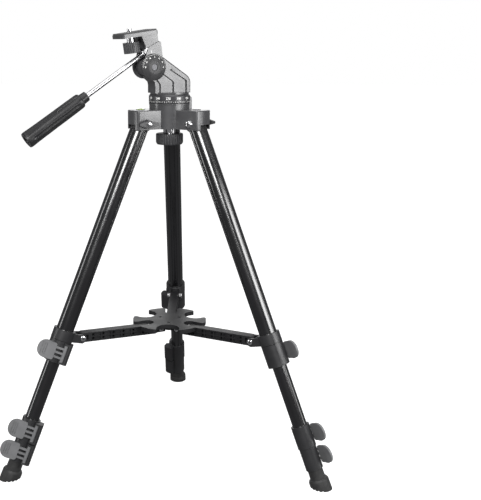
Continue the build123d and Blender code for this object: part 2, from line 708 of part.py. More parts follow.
def make_foot(side, angle):
    end = tube_end(3)
    with BuildPart() as foot:
        with BuildSketch(leg_side(angle)):
            with BuildLine():
                Polyline(
                    (0, -FOOT_TOP), (10.2, -FOOT_TOP), (10.6, -512.0), (12.6, -512.6),
                    (13.8, -515.0), (14.3, -540.0), (0, -540.0), close=True,
                )
            make_face()
        revolve(axis=Axis(down_leg(angle, 0).origin, down_leg(angle, 0).z_dir))
        with BuildSketch(down_leg(angle, end)):
            Circle(TUBE_R[3])
        extrude(amount=end - FOOT_TOP, mode=Mode.SUBTRACT)
        split(bisect_by=Plane.XY)
        # tread grooves across the sole
        with BuildSketch(side_plane(angle)):
            for step in (-8.0, -2.7, 2.7, 8.0):
                with Locations((FLOOR_R + step, 0)):
                    Circle(1.1)
        extrude(amount=20.0, both=True, mode=Mode.SUBTRACT)
    finish(f"{side}_foot", foot.part)


FLOOR_R = PIVOT_R + PIVOT_Z * tan(radians(SPLAY))  # where a leg's axis meets the floor

for side, angle in LEGS.items():
    make_upper_tube(side, angle)
    make_collar(side, angle)
    for index in range(3):
        make_clamp(side, angle, index)
        make_lever(side, angle, index)
        make_inner_tube(side, angle, index + 1)
    make_foot(side, angle)

# ---------------------------------------------------------------- spreader
EYEPIECE_TURNS = (30, 150, 270)
LUG_IN, LUG_OUT = BRACE_WIDTH / 2 + GAP, BRACE_WIDTH / 2 + 2.8

with BuildPart() as accessory_tray:
    with BuildSketch(flat(TRAY_TOP - TRAY_DEEP)) as petals:
        Circle(TRAY_R)
        for turn in EYEPIECE_TURNS:
            spot = spun(turn) * EYEPIECE_PITCH
            with Locations((spot.X, spot.Y)):
                Circle(EYEPIECE_R, mode=Mode.SUBTRACT)
        for turn in LEGS.values():
            spot = spun(turn) * 45.5
            with Locations(Location((spot.X, spot.Y, 0), (0, 0, turn))):
                SlotOverall(38.0, 18.5, mode=Mode.SUBTRACT)
        fillet(petals.vertices(), radius=3.0)
    extrude(amount=TRAY_DEEP)
    # the underside is a thin skin inside a rim
    with BuildSketch(flat(TRAY_TOP - TRAY_DEEP)):
        Circle(TRAY_R - 2.2)
        for turn in EYEPIECE_TURNS:
            spot = spun(turn) * EYEPIECE_PITCH
            with Locations((spot.X, spot.Y)):
                Circle(EYEPIECE_R + 2.2, mode=Mode.SUBTRACT)
        for turn in LEGS.values():
            spot = spun(turn) * 45.5
            with Locations(Location((spot.X, spot.Y, 0), (0, 0, turn))):
                SlotOverall(38.0 + 4.4, 18.5 + 4.4, mode=Mode.SUBTRACT)
    extrude(amount=TRAY_DEEP - 2.6, mode=Mode.SUBTRACT)
    with BuildSketch(flat(TRAY_TOP - 14.5)):
        Circle(9.5)
    extrude(amount=12.0)
    for angle in LEGS.values():
        for start in (LUG_OUT, -LUG_IN):
            with BuildSketch(side_plane(angle, start)):
                with Locations((INNER_PIN_R - 1.0, (INNER_PIN_Z - 4.2 + TRAY_TOP - 2) / 2)):
                    Rectangle(11.0, TRAY_TOP - 2 - INNER_PIN_Z + 4.2)
            extrude(amount=LUG_OUT - LUG_IN)
        with BuildSketch(side_plane(angle)):
            with Locations((INNER_PIN_R, INNER_PIN_Z)):
                Circle(PIN_R)
        extrude(amount=LUG_OUT + 1, both=True, mode=Mode.SUBTRACT)
    # small square holes beside the lugs
    for turn in EYEPIECE_TURNS:
        with BuildSketch(flat(TRAY_TOP - 4.0, turn, 16.5)):
            Rectangle(4.0, 4.0)
        extrude(amount=5.0, mode=Mode.SUBTRACT)
finish("accessory_tray", accessory_tray.part)

with BuildPart() as tray_hinge_pins:
    for angle in LEGS.values():
        with BuildSketch(side_plane(angle)):
            with Locations((INNER_PIN_R, INNER_PIN_Z)):
                Circle(PIN_R)
        extrude(amount=LUG_OUT + 0.4, both=True)
finish("tray_hinge_pins", tray_hinge_pins.part)

# outer brace pin in the tripod's own height and radius
lean = radians(SPLAY)
OUTER_PIN_R = PIVOT_R + BRACE_PIN_S * sin(lean) + BRACE_PIN_X * cos(lean)
OUTER_PIN_Z = PIVOT_Z - BRACE_PIN_S * cos(lean) + BRACE_PIN_X * sin(lean)
BRACE_LENGTH = sqrt((OUTER_PIN_R - INNER_PIN_R) ** 2 + (OUTER_PIN_Z - INNER_PIN_Z) ** 2)
BRACE_RISE = degrees(atan2(OUTER_PIN_Z - INNER_PIN_Z, OUTER_PIN_R - INNER_PIN_R))


def brace_side(angle, offset=0.0):
    """Upright plane on the inner pin, X along the brace."""
    out, aside = spun(angle), spun(angle + 90)
    rise = radians(BRACE_RISE)
    along = out * cos(rise) + Vector(0, 0, 1) * sin(rise)
    origin = Vector(0, AXIS_Y, INNER_PIN_Z) + out * INNER_PIN_R + aside * offset
    return Plane(origin=origin, x_dir=along, z_dir=-aside)


HALF_HEIGHT = BRACE_HEIGHT / 2
CELLS = 6
CELL_START, CELL_END = 15.0, BRACE_LENGTH - 14.0

for side, angle in LEGS.items():
    with BuildPart() as brace:
        with BuildSketch(brace_side(angle)):
            with BuildLine():
                end = BRACE_LENGTH + 2.0
                Polyline(
                    (-1.2, 3.4), (14.0, 3.4), (17.5, HALF_HEIGHT), (end - 4.5, HALF_HEIGHT),
                    (end - 1.4, HALF_HEIGHT - 1.4), (end, HALF_HEIGHT - 4.5),
                    (end, 4.5 - HALF_HEIGHT), (end - 1.4, 1.4 - HALF_HEIGHT),
                    (end - 4.5, -HALF_HEIGHT), (8.0, -HALF_HEIGHT), (0.0, -3.6), (-3.0, -2.0),
                    (-3.4, 1.0), close=True,
                )
            make_face()
        extrude(amount=BRACE_WIDTH / 2, both=True)
        pitch = (CELL_END - CELL_START) / CELLS
        for face_at, way in ((BRACE_WIDTH / 2, 1), (-BRACE_WIDTH / 2, -1)):
            with BuildSketch(brace_side(angle, face_at)):
                for cell in range(CELLS):
                    with Locations((CELL_START + pitch * (cell + 0.5), 0)):
                        with GridLocations(0, 5.6, 1, 2):
                            Rectangle(pitch - 2.0, 4.1)
            extrude(amount=1.8 * way, mode=Mode.SUBTRACT)
        with BuildSketch(brace_side(angle)):
            for cell in range(CELLS):
                with Locations((CELL_START + pitch * (cell + 1) - 3.4, 0)):
                    with GridLocations(0, 5.6, 1, 2):
                        Rectangle(3.2, 3.6)
        extrude(amount=BRACE_WIDTH / 2, both=True, mode=Mode.SUBTRACT)
        with BuildSketch(brace_side(angle)):
            Circle(PIN_R + RUNNING)
            # open fork round the outer pin, which shifts in it as the legs fold
            with Locations((BRACE_LENGTH + 1.4 / 2, 0.35)):
                Rectangle(20.6, 7.1)
        extrude(amount=BRACE_WIDTH / 2, both=True, mode=Mode.SUBTRACT)
    finish(f"{side}_brace", brace.part)
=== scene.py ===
import json
import math

import bmesh
import bpy
from mathutils import Matrix, Vector


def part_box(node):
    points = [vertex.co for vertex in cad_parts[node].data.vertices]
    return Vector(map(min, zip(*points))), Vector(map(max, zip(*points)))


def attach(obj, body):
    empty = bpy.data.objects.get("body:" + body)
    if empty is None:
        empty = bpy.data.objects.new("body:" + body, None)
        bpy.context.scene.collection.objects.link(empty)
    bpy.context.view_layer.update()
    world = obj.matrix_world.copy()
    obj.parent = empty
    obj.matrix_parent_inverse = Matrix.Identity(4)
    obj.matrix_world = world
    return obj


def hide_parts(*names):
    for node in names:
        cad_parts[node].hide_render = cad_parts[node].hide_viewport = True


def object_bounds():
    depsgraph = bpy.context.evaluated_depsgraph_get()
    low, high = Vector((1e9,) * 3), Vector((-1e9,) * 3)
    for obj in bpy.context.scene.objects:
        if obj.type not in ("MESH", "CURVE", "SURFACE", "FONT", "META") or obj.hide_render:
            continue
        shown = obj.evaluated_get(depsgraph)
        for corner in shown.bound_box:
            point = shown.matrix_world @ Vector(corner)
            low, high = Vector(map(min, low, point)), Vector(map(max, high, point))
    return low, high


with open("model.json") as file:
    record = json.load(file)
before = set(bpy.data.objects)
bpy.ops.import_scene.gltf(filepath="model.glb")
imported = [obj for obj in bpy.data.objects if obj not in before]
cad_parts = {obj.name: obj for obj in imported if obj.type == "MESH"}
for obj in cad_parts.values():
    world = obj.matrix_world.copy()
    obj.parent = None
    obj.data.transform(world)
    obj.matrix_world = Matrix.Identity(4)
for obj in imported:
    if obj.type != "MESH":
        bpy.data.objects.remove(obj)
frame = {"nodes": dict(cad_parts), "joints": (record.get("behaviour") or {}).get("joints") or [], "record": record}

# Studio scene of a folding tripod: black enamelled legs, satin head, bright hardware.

cad_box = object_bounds()
nodes, record = frame["nodes"], frame["record"]
joints = {joint["name"]: joint for joint in frame["joints"]}
UP = Vector((0, 0, 1))
SIDES = ("left", "right", "rear")
MM = 0.001


def joint_line(name):
    """A joint's point and unit direction."""
    return Vector(joints[name]["pos_m"]), Vector(joints[name]["axis"]).normalized()


tripod_axis = joint_line("pan")[0].copy()
tripod_axis.z = 0.0

# ------------------------------------------------------------------ finishes


class Finish:
    """A material whose colour, sheen and relief are worked out on Object coordinates."""

    def __init__(self, name, colour, roughness, metallic=0.0, specular=0.5, coat=0.0):
        self.material = bpy.data.materials.new(name)
        self.material.use_nodes = True
        self.tree = self.material.node_tree
        self.shader = self.tree.nodes["Principled BSDF"]
        self.set("Base Color", (*colour, 1.0))
        self.set("Roughness", roughness)
        self.set("Metallic", metallic)
        self.set("Specular IOR Level", specular)
        self.set("Coat Weight", coat)
        self.colour, self.roughness = colour, roughness
        self.place = self.tree.nodes.new("ShaderNodeTexCoord").outputs["Object"]

    def set(self, socket, value):
        self.shader.inputs[socket].default_value = value

    def node(self, kind, **values):
        made = self.tree.nodes.new(kind)
        for key, value in values.items():
            setattr(made, key, value)
        return made

    def noise(self, scale, detail=3.0, stretch=(1, 1, 1)):
        fitted = self.node("ShaderNodeMapping")
        fitted.inputs["Scale"].default_value = stretch
        self.tree.links.new(self.place, fitted.inputs["Vector"])
        made = self.node("ShaderNodeTexNoise")
        made.inputs["Scale"].default_value = scale
        made.inputs["Detail"].default_value = detail
        self.tree.links.new(fitted.outputs["Vector"], made.inputs["Vector"])
        return made.outputs["Fac"]

    def spread(self, fac, low, high, start=0.3, end=0.7):
        made = self.node("ShaderNodeMapRange")
        for socket, value in zip(("From Min", "From Max", "To Min", "To Max"), (start, end, low, high)):
            made.inputs[socket].default_value = value
        self.tree.links.new(fac, made.inputs["Value"])
        return made.outputs["Result"]

    def vary_roughness(self, fac, amount):
        result = self.spread(fac, self.roughness - amount, self.roughness + amount)
        self.tree.links.new(result, self.shader.inputs["Roughness"])

    def vary_colour(self, fac, other, start=0.35, end=0.7):
        mix = self.node("ShaderNodeMix", data_type="RGBA")
        mix.inputs["A"].default_value = (*self.colour, 1.0)
        mix.inputs["B"].default_value = (*other, 1.0)
        self.tree.links.new(self.spread(fac, 0.0, 1.0, start, end), mix.inputs["Factor"])
        self.tree.links.new(mix.outputs["Result"], self.shader.inputs["Base Color"])

    def relief(self, fac, strength, depth):
        bump = self.node("ShaderNodeBump")
        bump.inputs["Strength"].default_value = strength
        bump.inputs["Distance"].default_value = depth
        self.tree.links.new(fac, bump.inputs["Height"])
        last = self.shader.inputs["Normal"]
        if last.links:
            self.tree.links.new(last.links[0].from_socket, bump.inputs["Normal"])
        self.tree.links.new(bump.outputs["Normal"], last)


def moulded_plastic(name, colour, roughness, worn, grain=2600.0, depth=0.00003, specular=0.5, coat=0.0):
    """Moulded plastic with a fine spark-eroded grain and slightly rubbed patches."""
    finish = Finish(name, colour, roughness, specular=specular, coat=coat)
    finish.set("Coat Roughness", 0.22)
    finish.vary_roughness(finish.noise(38.0, 4.0), 0.05)
    finish.vary_colour(finish.noise(55.0, 5.0), worn)
    finish.relief(finish.noise(grain, 2.0), 0.35, depth)
    return finish.material


def enamel(name, colour, roughness):
    """Baked gloss enamel on drawn tube, with the faintest waviness."""
    finish = Finish(name, colour, roughness, specular=0.8, coat=0.6)
    finish.set("Coat Roughness", 0.12)
    finish.vary_roughness(finish.noise(24.0, 3.0), 0.04)
    finish.vary_colour(finish.noise(90.0, 2.0), tuple(c * 1.4 for c in colour), 0.5, 0.9)
    finish.relief(finish.noise(60.0, 1.0, (1, 1, 0.12)), 0.02, 0.00001)
    return finish.material


def bright_metal(name, colour, roughness):
    """Polished, plated or turned metal, rubbed a little unevenly."""
    finish = Finish(name, colour, roughness, metallic=1.0)
    finish.vary_roughness(finish.noise(70.0, 4.0), 0.05)
    finish.vary_colour(finish.noise(160.0, 4.0), tuple(c * 0.82 for c in colour))
    return finish.material


def soft_rubber(name, colour, roughness, dusty):
    finish = Finish(name, colour, roughness, specular=0.35)
    finish.set("Sheen Weight", 0.08)
    finish.vary_roughness(finish.noise(48.0, 4.0), 0.07)
    finish.vary_colour(finish.noise(120.0, 6.0), dusty, 0.45, 0.8)
    finish.relief(finish.noise(1500.0, 3.0), 0.14, 0.00003)
    return finish.material


def printed_ink(name, colour):
    """Pad-printed ink with a slightly uneven lay."""
    finish = Finish(name, colour, 0.45)
    finish.vary_roughness(finish.noise(300.0), 0.08)
    finish.vary_colour(finish.noise(900.0, 3.0), tuple(c * 0.86 for c in colour))
    return finish.material


satin_black = moulded_plastic(
    "head satin plastic", (0.040, 0.040, 0.042), 0.30, (0.055, 0.055, 0.057), specular=0.6, coat=0.35
)
fine_black = moulded_plastic("clamp satin plastic", (0.015, 0.015, 0.016), 0.36, (0.022, 0.022, 0.023))
brace_black = moulded_plastic(
    "spreader plastic", (0.008, 0.008, 0.009), 0.44, (0.013, 0.013, 0.014), 1900.0, 0.00004, 0.4
)
ring_black = moulded_plastic("scale ring plastic", (0.024, 0.024, 0.026), 0.34, (0.034, 0.034, 0.036))
dial_black = moulded_plastic("dial plastic", (0.026, 0.026, 0.027), 0.42, (0.036, 0.036, 0.037), 3200.0, specular=0.35)
knob_black = moulded_plastic("knob plastic", (0.028, 0.028, 0.030), 0.36, (0.045, 0.045, 0.047))
lever_grey = moulded_plastic(
    "lever grey plastic", (0.110, 0.111, 0.114), 0.42, (0.140, 0.141, 0.144), 2100.0, 0.00003, 0.4
)
tube_black = enamel("tube gloss enamel", (0.004, 0.004, 0.0045), 0.21)
foot_rubber = soft_rubber("foot rubber", (0.014, 0.014, 0.014), 0.58, (0.026, 0.026, 0.025))
pad_rubber = soft_rubber("pad rubber", (0.040, 0.040, 0.041), 0.66, (0.062, 0.062, 0.062))
grip_rubber = soft_rubber("grip rubber", (0.010, 0.010, 0.011), 0.36, (0.016, 0.016, 0.016))
plated = bright_metal("bright plating", (0.86, 0.86, 0.87), 0.16)
rod_plated = bright_metal("rod plating", (0.74, 0.74, 0.75), 0.24)
dark_steel = bright_metal("blackened steel", (0.10, 0.10, 0.105), 0.45)
white_ink = printed_ink("white print", (0.82, 0.82, 0.80))
red_ink = printed_ink("red enamel", (0.55, 0.03, 0.02))
blue_ink = printed_ink("blue enamel", (0.03, 0.12, 0.35))
yellow_ring = printed_ink("yellow rim", (0.72, 0.66, 0.10))
# Near-black, used for real print (the level's target ring and the compass marks) and as painted shade: the crosses on
# the screw heads stand for the shade inside their recesses.
black_print_and_painted_shade = moulded_plastic("black print and painted recess shade", (0.008, 0.008, 0.008), 0.6, (0.012, 0.012, 0.012))


def clear_liquid(name, colour, roughness=0.06):
    """Tinted liquid: glossy, partly see-through, with faint streaks."""
    finish = Finish(name, colour, roughness, specular=0.6, coat=0.8)
    finish.set("Transmission Weight", 0.55)
    finish.set("IOR", 1.42)
    finish.set("Coat Roughness", 0.03)
    finish.vary_colour(finish.noise(180.0, 3.0), tuple(min(1.0, c * 1.25) for c in colour))
    return finish.material


vial_green = clear_liquid("vial liquid", (0.42, 0.66, 0.05))
card_white = printed_ink("compass card", (0.70, 0.71, 0.69))

# ------------------------------------------------------------------ mesh helpers


def new_piece(name, mesh, body, slot, *materials):
    piece = bpy.data.objects.new(name, mesh)
    bpy.context.scene.collection.objects.link(piece)
    for material in materials:
        mesh.materials.append(material)
    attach(piece, body)
    return piece


def mesh_of(name, build, smooth_angle=35.0):
    """A mesh built by build(bm), closed, outward facing and softly shaded below an angle."""
    bm = bmesh.new()
    build(bm)
    bmesh.ops.recalc_face_normals(bm, faces=bm.faces)
    return shaded_mesh(name, bm, smooth_angle)


def shaded_mesh(name, bm, smooth_angle):
    limit = math.radians(smooth_angle)
    for face in bm.faces:
        face.smooth = True
    for edge in bm.edges:
        edge.smooth = len(edge.link_faces) == 2 and edge.calc_face_angle(0.0) < limit
    mesh = bpy.data.meshes.new(name)
    bm.to_mesh(mesh)
    bm.free()
    return mesh


def upright(point, direction, across=None):
    """Matrix that puts +Z on a direction, with +X as near `across` as can be."""
    z = Vector(direction).normalized()
    across = Vector(across) if across is not None else Vector((1, 0, 0) if abs(z.x) < 0.9 else (0, 1, 0))
    x = (across - z * across.dot(z)).normalized()
    y = z.cross(x)
    rotation = Matrix((x, y, z)).transposed().to_4x4()
    return Matrix.Translation(Vector(point)) @ rotation


def lathe(bm, profile, place, segments=64):
    """Closed turned body from (radius, height) pairs; a radius of nought is a pole."""
    rings = []
    for radius, height in profile:
        if radius < 1e-7:
            rings.append([bm.verts.new(place @ Vector((0, 0, height)))])
        else:
            turns = [2 * math.pi * k / segments for k in range(segments)]
            rings.append(
                [bm.verts.new(place @ Vector((radius * math.cos(t), radius * math.sin(t), height))) for t in turns]
            )
    for low, high in zip(rings, rings[1:]):
        for k in range(segments):
            j = (k + 1) % segments
            if len(low) == 1:
                bm.faces.new((low[0], high[k], high[j]))
            elif len(high) == 1:
                bm.faces.new((low[k], low[j], high[0]))
            else:
                bm.faces.new((low[k], low[j], high[j], high[k]))


def prism(bm, outline, place, height):
    """Closed prism on a flat outline, from the place's own XY plane up to a height."""
    low = [bm.verts.new(place @ Vector((x, y, 0))) for x, y in outline]
    high = [bm.verts.new(place @ Vector((x, y, height))) for x, y in outline]
    bm.faces.new(list(reversed(low)))
    bm.faces.new(high)
    for k in range(len(low)):
        j = (k + 1) % len(low)
        bm.faces.new((low[k], low[j], high[j], high[k]))


# ------------------------------------------------------------------ rule-made rows


def row_tree(name):
    """Geometry Nodes: small bars set round a circle, pointing at its centre."""
    tree = bpy.data.node_groups.new(name, "GeometryNodeTree")
    face = tree.interface
    face.new_socket("Geometry", in_out="OUTPUT", socket_type="NodeSocketGeometry")
    sizes = (("Radius", 0.02), ("Wide", 0.0002), ("Tall", 0.001), ("Thick", 0.0001), ("Start", 0.0), ("Sweep", 6.28))
    for label, value in sizes:
        face.new_socket(label, in_out="INPUT", socket_type="NodeSocketFloat").default_value = value
    face.new_socket("Count", in_out="INPUT", socket_type="NodeSocketInt").default_value = 12
    face.new_socket("Ink", in_out="INPUT", socket_type="NodeSocketMaterial")
    n = tree.nodes
    into, out = n.new("NodeGroupInput"), n.new("NodeGroupOutput")
    link = tree.links.new
    line = n.new("GeometryNodeMeshLine")
    link(into.outputs["Count"], line.inputs["Count"])
    index = n.new("GeometryNodeInputIndex")
    step = n.new("ShaderNodeMath")
    step.operation = "DIVIDE"
    link(into.outputs["Count"], step.inputs[1])
    link(into.outputs["Sweep"], step.inputs[0])
    turn = n.new("ShaderNodeMath")
    turn.operation = "MULTIPLY_ADD"
    link(index.outputs[0], turn.inputs[0])
    link(step.outputs[0], turn.inputs[1])
    link(into.outputs["Start"], turn.inputs[2])
    spot = n.new("ShaderNodeCombineXYZ")
    for kind, socket in (("COSINE", "X"), ("SINE", "Y")):
        part, scaled = n.new("ShaderNodeMath"), n.new("ShaderNodeMath")
        part.operation, scaled.operation = kind, "MULTIPLY"
        link(turn.outputs[0], part.inputs[0])
        link(part.outputs[0], scaled.inputs[0])
        link(into.outputs["Radius"], scaled.inputs[1])
        link(scaled.outputs[0], spot.inputs[socket])
    placed = n.new("GeometryNodeSetPosition")
    link(line.outputs["Mesh"], placed.inputs["Geometry"])
    link(spot.outputs[0], placed.inputs["Position"])
    bar = n.new("GeometryNodeMeshCube")
    size = n.new("ShaderNodeCombineXYZ")
    link(into.outputs["Thick"], size.inputs["X"])
    link(into.outputs["Wide"], size.inputs["Y"])
    link(into.outputs["Tall"], size.inputs["Z"])
    link(size.outputs[0], bar.inputs["Size"])
    facing = n.new("ShaderNodeCombineXYZ")
    link(turn.outputs[0], facing.inputs["Z"])
    put = n.new("GeometryNodeInstanceOnPoints")
    link(placed.outputs["Geometry"], put.inputs["Points"])
    link(bar.outputs["Mesh"], put.inputs["Instance"])
    link(facing.outputs[0], put.inputs["Rotation"])
    real = n.new("GeometryNodeRealizeInstances")
    link(put.outputs["Instances"], real.inputs["Geometry"])
    inked = n.new("GeometryNodeSetMaterial")
    link(real.outputs["Geometry"], inked.inputs["Geometry"])
    link(into.outputs["Ink"], inked.inputs["Material"])
    link(inked.outputs["Geometry"], out.inputs["Geometry"])
    return tree


def row_mesh(tree, name, material, **sizes):
    """The tree's result with these sizes, as a plain mesh."""
    holder = bpy.data.objects.new(name + " maker", bpy.data.meshes.new(name + " seed"))
    bpy.context.scene.collection.objects.link(holder)
    made = holder.modifiers.new("rows", "NODES")
    made.node_group = tree
    for item in tree.interface.items_tree:
        if item.in_out == "INPUT" and item.name in sizes:
            made[item.identifier] = sizes[item.name]
        if item.in_out == "INPUT" and item.name == "Ink":
            made[item.identifier] = material
    ready = holder.evaluated_get(bpy.context.evaluated_depsgraph_get())
    mesh = bpy.data.meshes.new_from_object(ready)
    holder.modifiers.remove(made)
    bpy.data.objects.remove(holder)
    mesh.name = name
    return mesh


# ------------------------------------------------------------------ the CAD nodes


FINISHES = {
    "hub_spider": satin_black, "pan_yoke": satin_black, "tilt_bracket": satin_black,
    "azimuth_scale_ring": ring_black, "tilt_scale_disc": dial_black, "platform_pad": pad_rubber,
    "pan_lock_knob": knob_black, "plate_screw_knob": knob_black, "handle_grip": grip_rubber,
    "handle_rod": rod_plated, "camera_screw": plated, "leg_pivot_bolts": plated,
    "tilt_pivot_bolt": dark_steel, "pan_spindle": plated, "tray_hinge_pins": plated,
    "accessory_tray": brace_black, "bubble_level": vial_green, "compass": card_white,
}
for side in SIDES:
    FINISHES[f"wing_nut_{side}"] = knob_black
    FINISHES[f"{side}_brace"] = brace_black
    FINISHES[f"{side}_foot"] = foot_rubber
    for tube in ("upper_tube", "tube_2", "tube_3", "tube_4"):
        FINISHES[f"{side}_{tube}"] = tube_black
    for clamp in ("leg_collar", "clamp_1", "clamp_2", "clamp_3"):
        FINISHES[f"{side}_{clamp}"] = fine_black
    for step in (1, 2, 3):
        FINISHES[f"{side}_lever_{step}"] = lever_grey

body_of_node = {node: body for body, group in record["behaviour"]["bodies"].items() for node in group}
slot_of_node = {item["node"]: item["material_slot"] for item in record["subparts"]}


def finished_copy(node, edge_break):
    """A merged, softly shaded copy of a CAD node, standing for it; its edges are broken by a bevel only when
    edge_break is above nought.
    """
    bm = bmesh.new()
    bm.from_mesh(nodes[node].data)
    bmesh.ops.remove_doubles(bm, verts=bm.verts, dist=2e-6)
    bmesh.ops.dissolve_limit(
        bm, angle_limit=math.radians(0.6), verts=bm.verts, edges=bm.edges, delimit={"NORMAL"}
    )
    mesh = shaded_mesh(node + "_finished", bm, 32.0)
    piece = new_piece(node + "_finished", mesh, body_of_node[node], slot_of_node[node], FINISHES[node])
    if edge_break:
        bevel = piece.modifiers.new("broken edges", "BEVEL")
        bevel.width = edge_break
        bevel.segments = 2
        bevel.limit_method = "ANGLE"
        bevel.angle_limit = math.radians(38.0)
        bevel.harden_normals = True
        bevel.use_clamp_overlap = True
    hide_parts(node)
    return piece


REPLACED = {"bubble_level", "compass", "handle_grip"}
for node in sorted(nodes):
    if node in REPLACED:
        continue
    finished_copy(node, 0.0)

# ------------------------------------------------------------------ azimuth scale


ring_low, ring_high = (Vector(corner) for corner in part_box("azimuth_scale_ring"))
RING_RADIUS = (ring_high.x - ring_low.x) / 2
scale_base = tripod_axis + Vector((0, 0, ring_low.z))
FULL_TURN = 2 * math.pi
scale_ticks = row_tree("ticks round a circle")


for name, count, tall, rise in (("fine", 72, 1.7, 2.3), ("long", 12, 2.7, 2.8)):
    ticks = row_mesh(
        scale_ticks, f"azimuth_{name}_ticks", white_ink, Radius=RING_RADIUS,
        Wide=(0.28 if name == "fine" else 0.42) * MM, Tall=tall * MM, Thick=0.14 * MM,
        Start=0.0, Sweep=FULL_TURN, Count=count,
    )
    ticks.transform(Matrix.Translation(scale_base + Vector((0, 0, rise * MM))))
    new_piece(f"azimuth_{name}_ticks", ticks, "scale_ring", "ring_plastic")


def figure_mesh(text, height, thickness=0.00007):
    """Generic numerals as a flat mesh centred on the origin, reading along +X."""
    curve = bpy.data.curves.new("figure", "FONT")
    curve.body, curve.size = text, height * 1.42
    curve.align_x, curve.align_y = "CENTER", "CENTER"
    curve.extrude, curve.resolution_u, curve.offset = thickness, 3, height * 0.02
    holder = bpy.data.objects.new("figure", curve)
    bpy.context.scene.collection.objects.link(holder)
    mesh = bpy.data.meshes.new_from_object(holder.evaluated_get(bpy.context.evaluated_depsgraph_get()))
    bpy.data.objects.remove(holder)
    return mesh


def joined(name, meshes, material):
    bm = bmesh.new()
    for mesh in meshes:
        bm.from_mesh(mesh)
    for face in bm.faces:
        face.material_index = 0
    out = bpy.data.meshes.new(name)
    bm.to_mesh(out)
    bm.free()
    out.materials.append(material)
    return out


def wrapped_figure(text, height, radius, degrees_round, rise):
    """Numerals bent round the scale ring at a bearing."""
    mesh = figure_mesh(text, height)
    for vertex in mesh.vertices:
        turn = math.radians(degrees_round) + vertex.co.x / radius
        out = radius + 0.00002 + vertex.co.z
        spot = Vector((out * math.cos(turn), out * math.sin(turn), rise + vertex.co.y))
        vertex.co = scale_base + spot
    return mesh


figures = [wrapped_figure(str(turn), 0.0030, RING_RADIUS, turn, 0.0069) for turn in range(0, 360, 30)]
new_piece("azimuth_figures", joined("azimuth_figures", figures, white_ink), "scale_ring", "ring_plastic")

# ------------------------------------------------------------------ tilt dial


tilt_point, tilt_axis = joint_line("tilt")
dial_high = max(
    (nodes["tilt_scale_disc"].data.vertices[i].co - tilt_point).dot(tilt_axis)
    for i in range(len(nodes["tilt_scale_disc"].data.vertices))
)
CONE_LOW_R, CONE_HIGH_R, CONE_DROP = 0.0175, 0.0096, 0.0032
cone_slope = math.atan2(CONE_DROP, CONE_LOW_R - CONE_HIGH_R)
dial_face = upright(tilt_point + tilt_axis * dial_high, tilt_axis, UP.cross(tilt_axis))


def on_cone(radius):
    """Height of the dial's cone below its rim, on the dial's own axis."""
    return -CONE_DROP * (radius - CONE_HIGH_R) / (CONE_LOW_R - CONE_HIGH_R)


def laid_on_cone(mesh, radius, turn, across):
    """Lays a flat mark on the cone at a radius, standing square to the dial's centre."""
    lean = Matrix.Rotation(-cone_slope, 4, "X")
    quarter = Matrix.Rotation(turn - math.pi / 2, 4, "Z")
    out = Matrix.Translation(Vector((0, radius, on_cone(radius) + 0.00004)))
    spun = Matrix.Rotation(across, 4, "Z")
    mesh.transform(dial_face @ quarter @ out @ lean @ spun)
    return mesh


def cone_bar(wide, tall):
    def build(bm):
        half_w, half_t = wide / 2, tall / 2
        corners = [(-half_w, -half_t), (half_w, -half_t), (half_w, half_t), (-half_w, half_t)]
        prism(bm, corners, Matrix.Identity(4), 0.00005)
    return mesh_of("mark", build)


dial_marks = []
for step in range(-18, 19):
    turn = math.radians(90 + step * 5)
    long_mark = step % 3 == 0
    bar = cone_bar(0.00022, 0.0021 if long_mark else 0.0013)
    dial_marks.append(laid_on_cone(bar, 0.0163 if not long_mark else 0.0159, turn, 0.0))
for bearing in (-90, -60, -30, 0, 30, 60, 90):
    text = figure_mesh(str(abs(bearing)), 0.0017, 0.00005)
    dial_marks.append(laid_on_cone(text, 0.0131, math.radians(90 + bearing), 0.0))
new_piece("tilt_scale_marks", joined("tilt_scale_marks", dial_marks, white_ink), "pan_head", "dial_plastic")

# ------------------------------------------------------------------ bright heads


def cap_profile(radius, dome, skirt):
    """Profile of a domed cap: a short skirt under a low crown."""
    crown = [(radius * math.cos(t), dome * math.sin(t)) for t in [math.pi / 2 * k / 7 for k in range(8)]]
    return [(0.0, -skirt), (radius, -skirt)] + crown[:-1] + [(0.0, dome)]


def cross_outline(arm, reach):
    quarter = [(arm, arm), (arm, reach), (-arm, reach)]
    return [
        (x * c - y * s, x * s + y * c) for c, s in ((1, 0), (0, 1), (-1, 0), (0, -1)) for x, y in quarter
    ]


def cross_heads(name, body, slot, places, radius, dome, cross=(0.13, 0.52), metal=plated):
    """Domed heads, each with a cross of painted shade where its recess would be, standing a hair proud of its crown.
    """
    def caps(bm):
        for place in places:
            lathe(bm, cap_profile(radius, dome, 0.0004), place, 40)

    def crosses(bm):
        # painted shade: a near-black cross prism stands for the shade inside each head's recess
        for place in places:
            raised = place @ Matrix.Translation((0, 0, dome * 0.80))
            prism(bm, cross_outline(radius * cross[0], radius * cross[1]), raised, dome * 0.2 + 0.00006)

    new_piece(name, mesh_of(name, caps), body, slot, metal)
    if cross:
        new_piece(name + "_recess_shade", mesh_of(name + "_recess_shade", crosses, 20.0), body, slot, black_print_and_painted_shade)


well = tilt_point + tilt_axis * (dial_high - 0.0034)
cross_heads(
    "dial_screw", "pan_head", "bright_steel", [upright(well, tilt_axis, UP)], 0.0040, 0.0009,
    cross=(0.19, 0.68), metal=dark_steel,
)

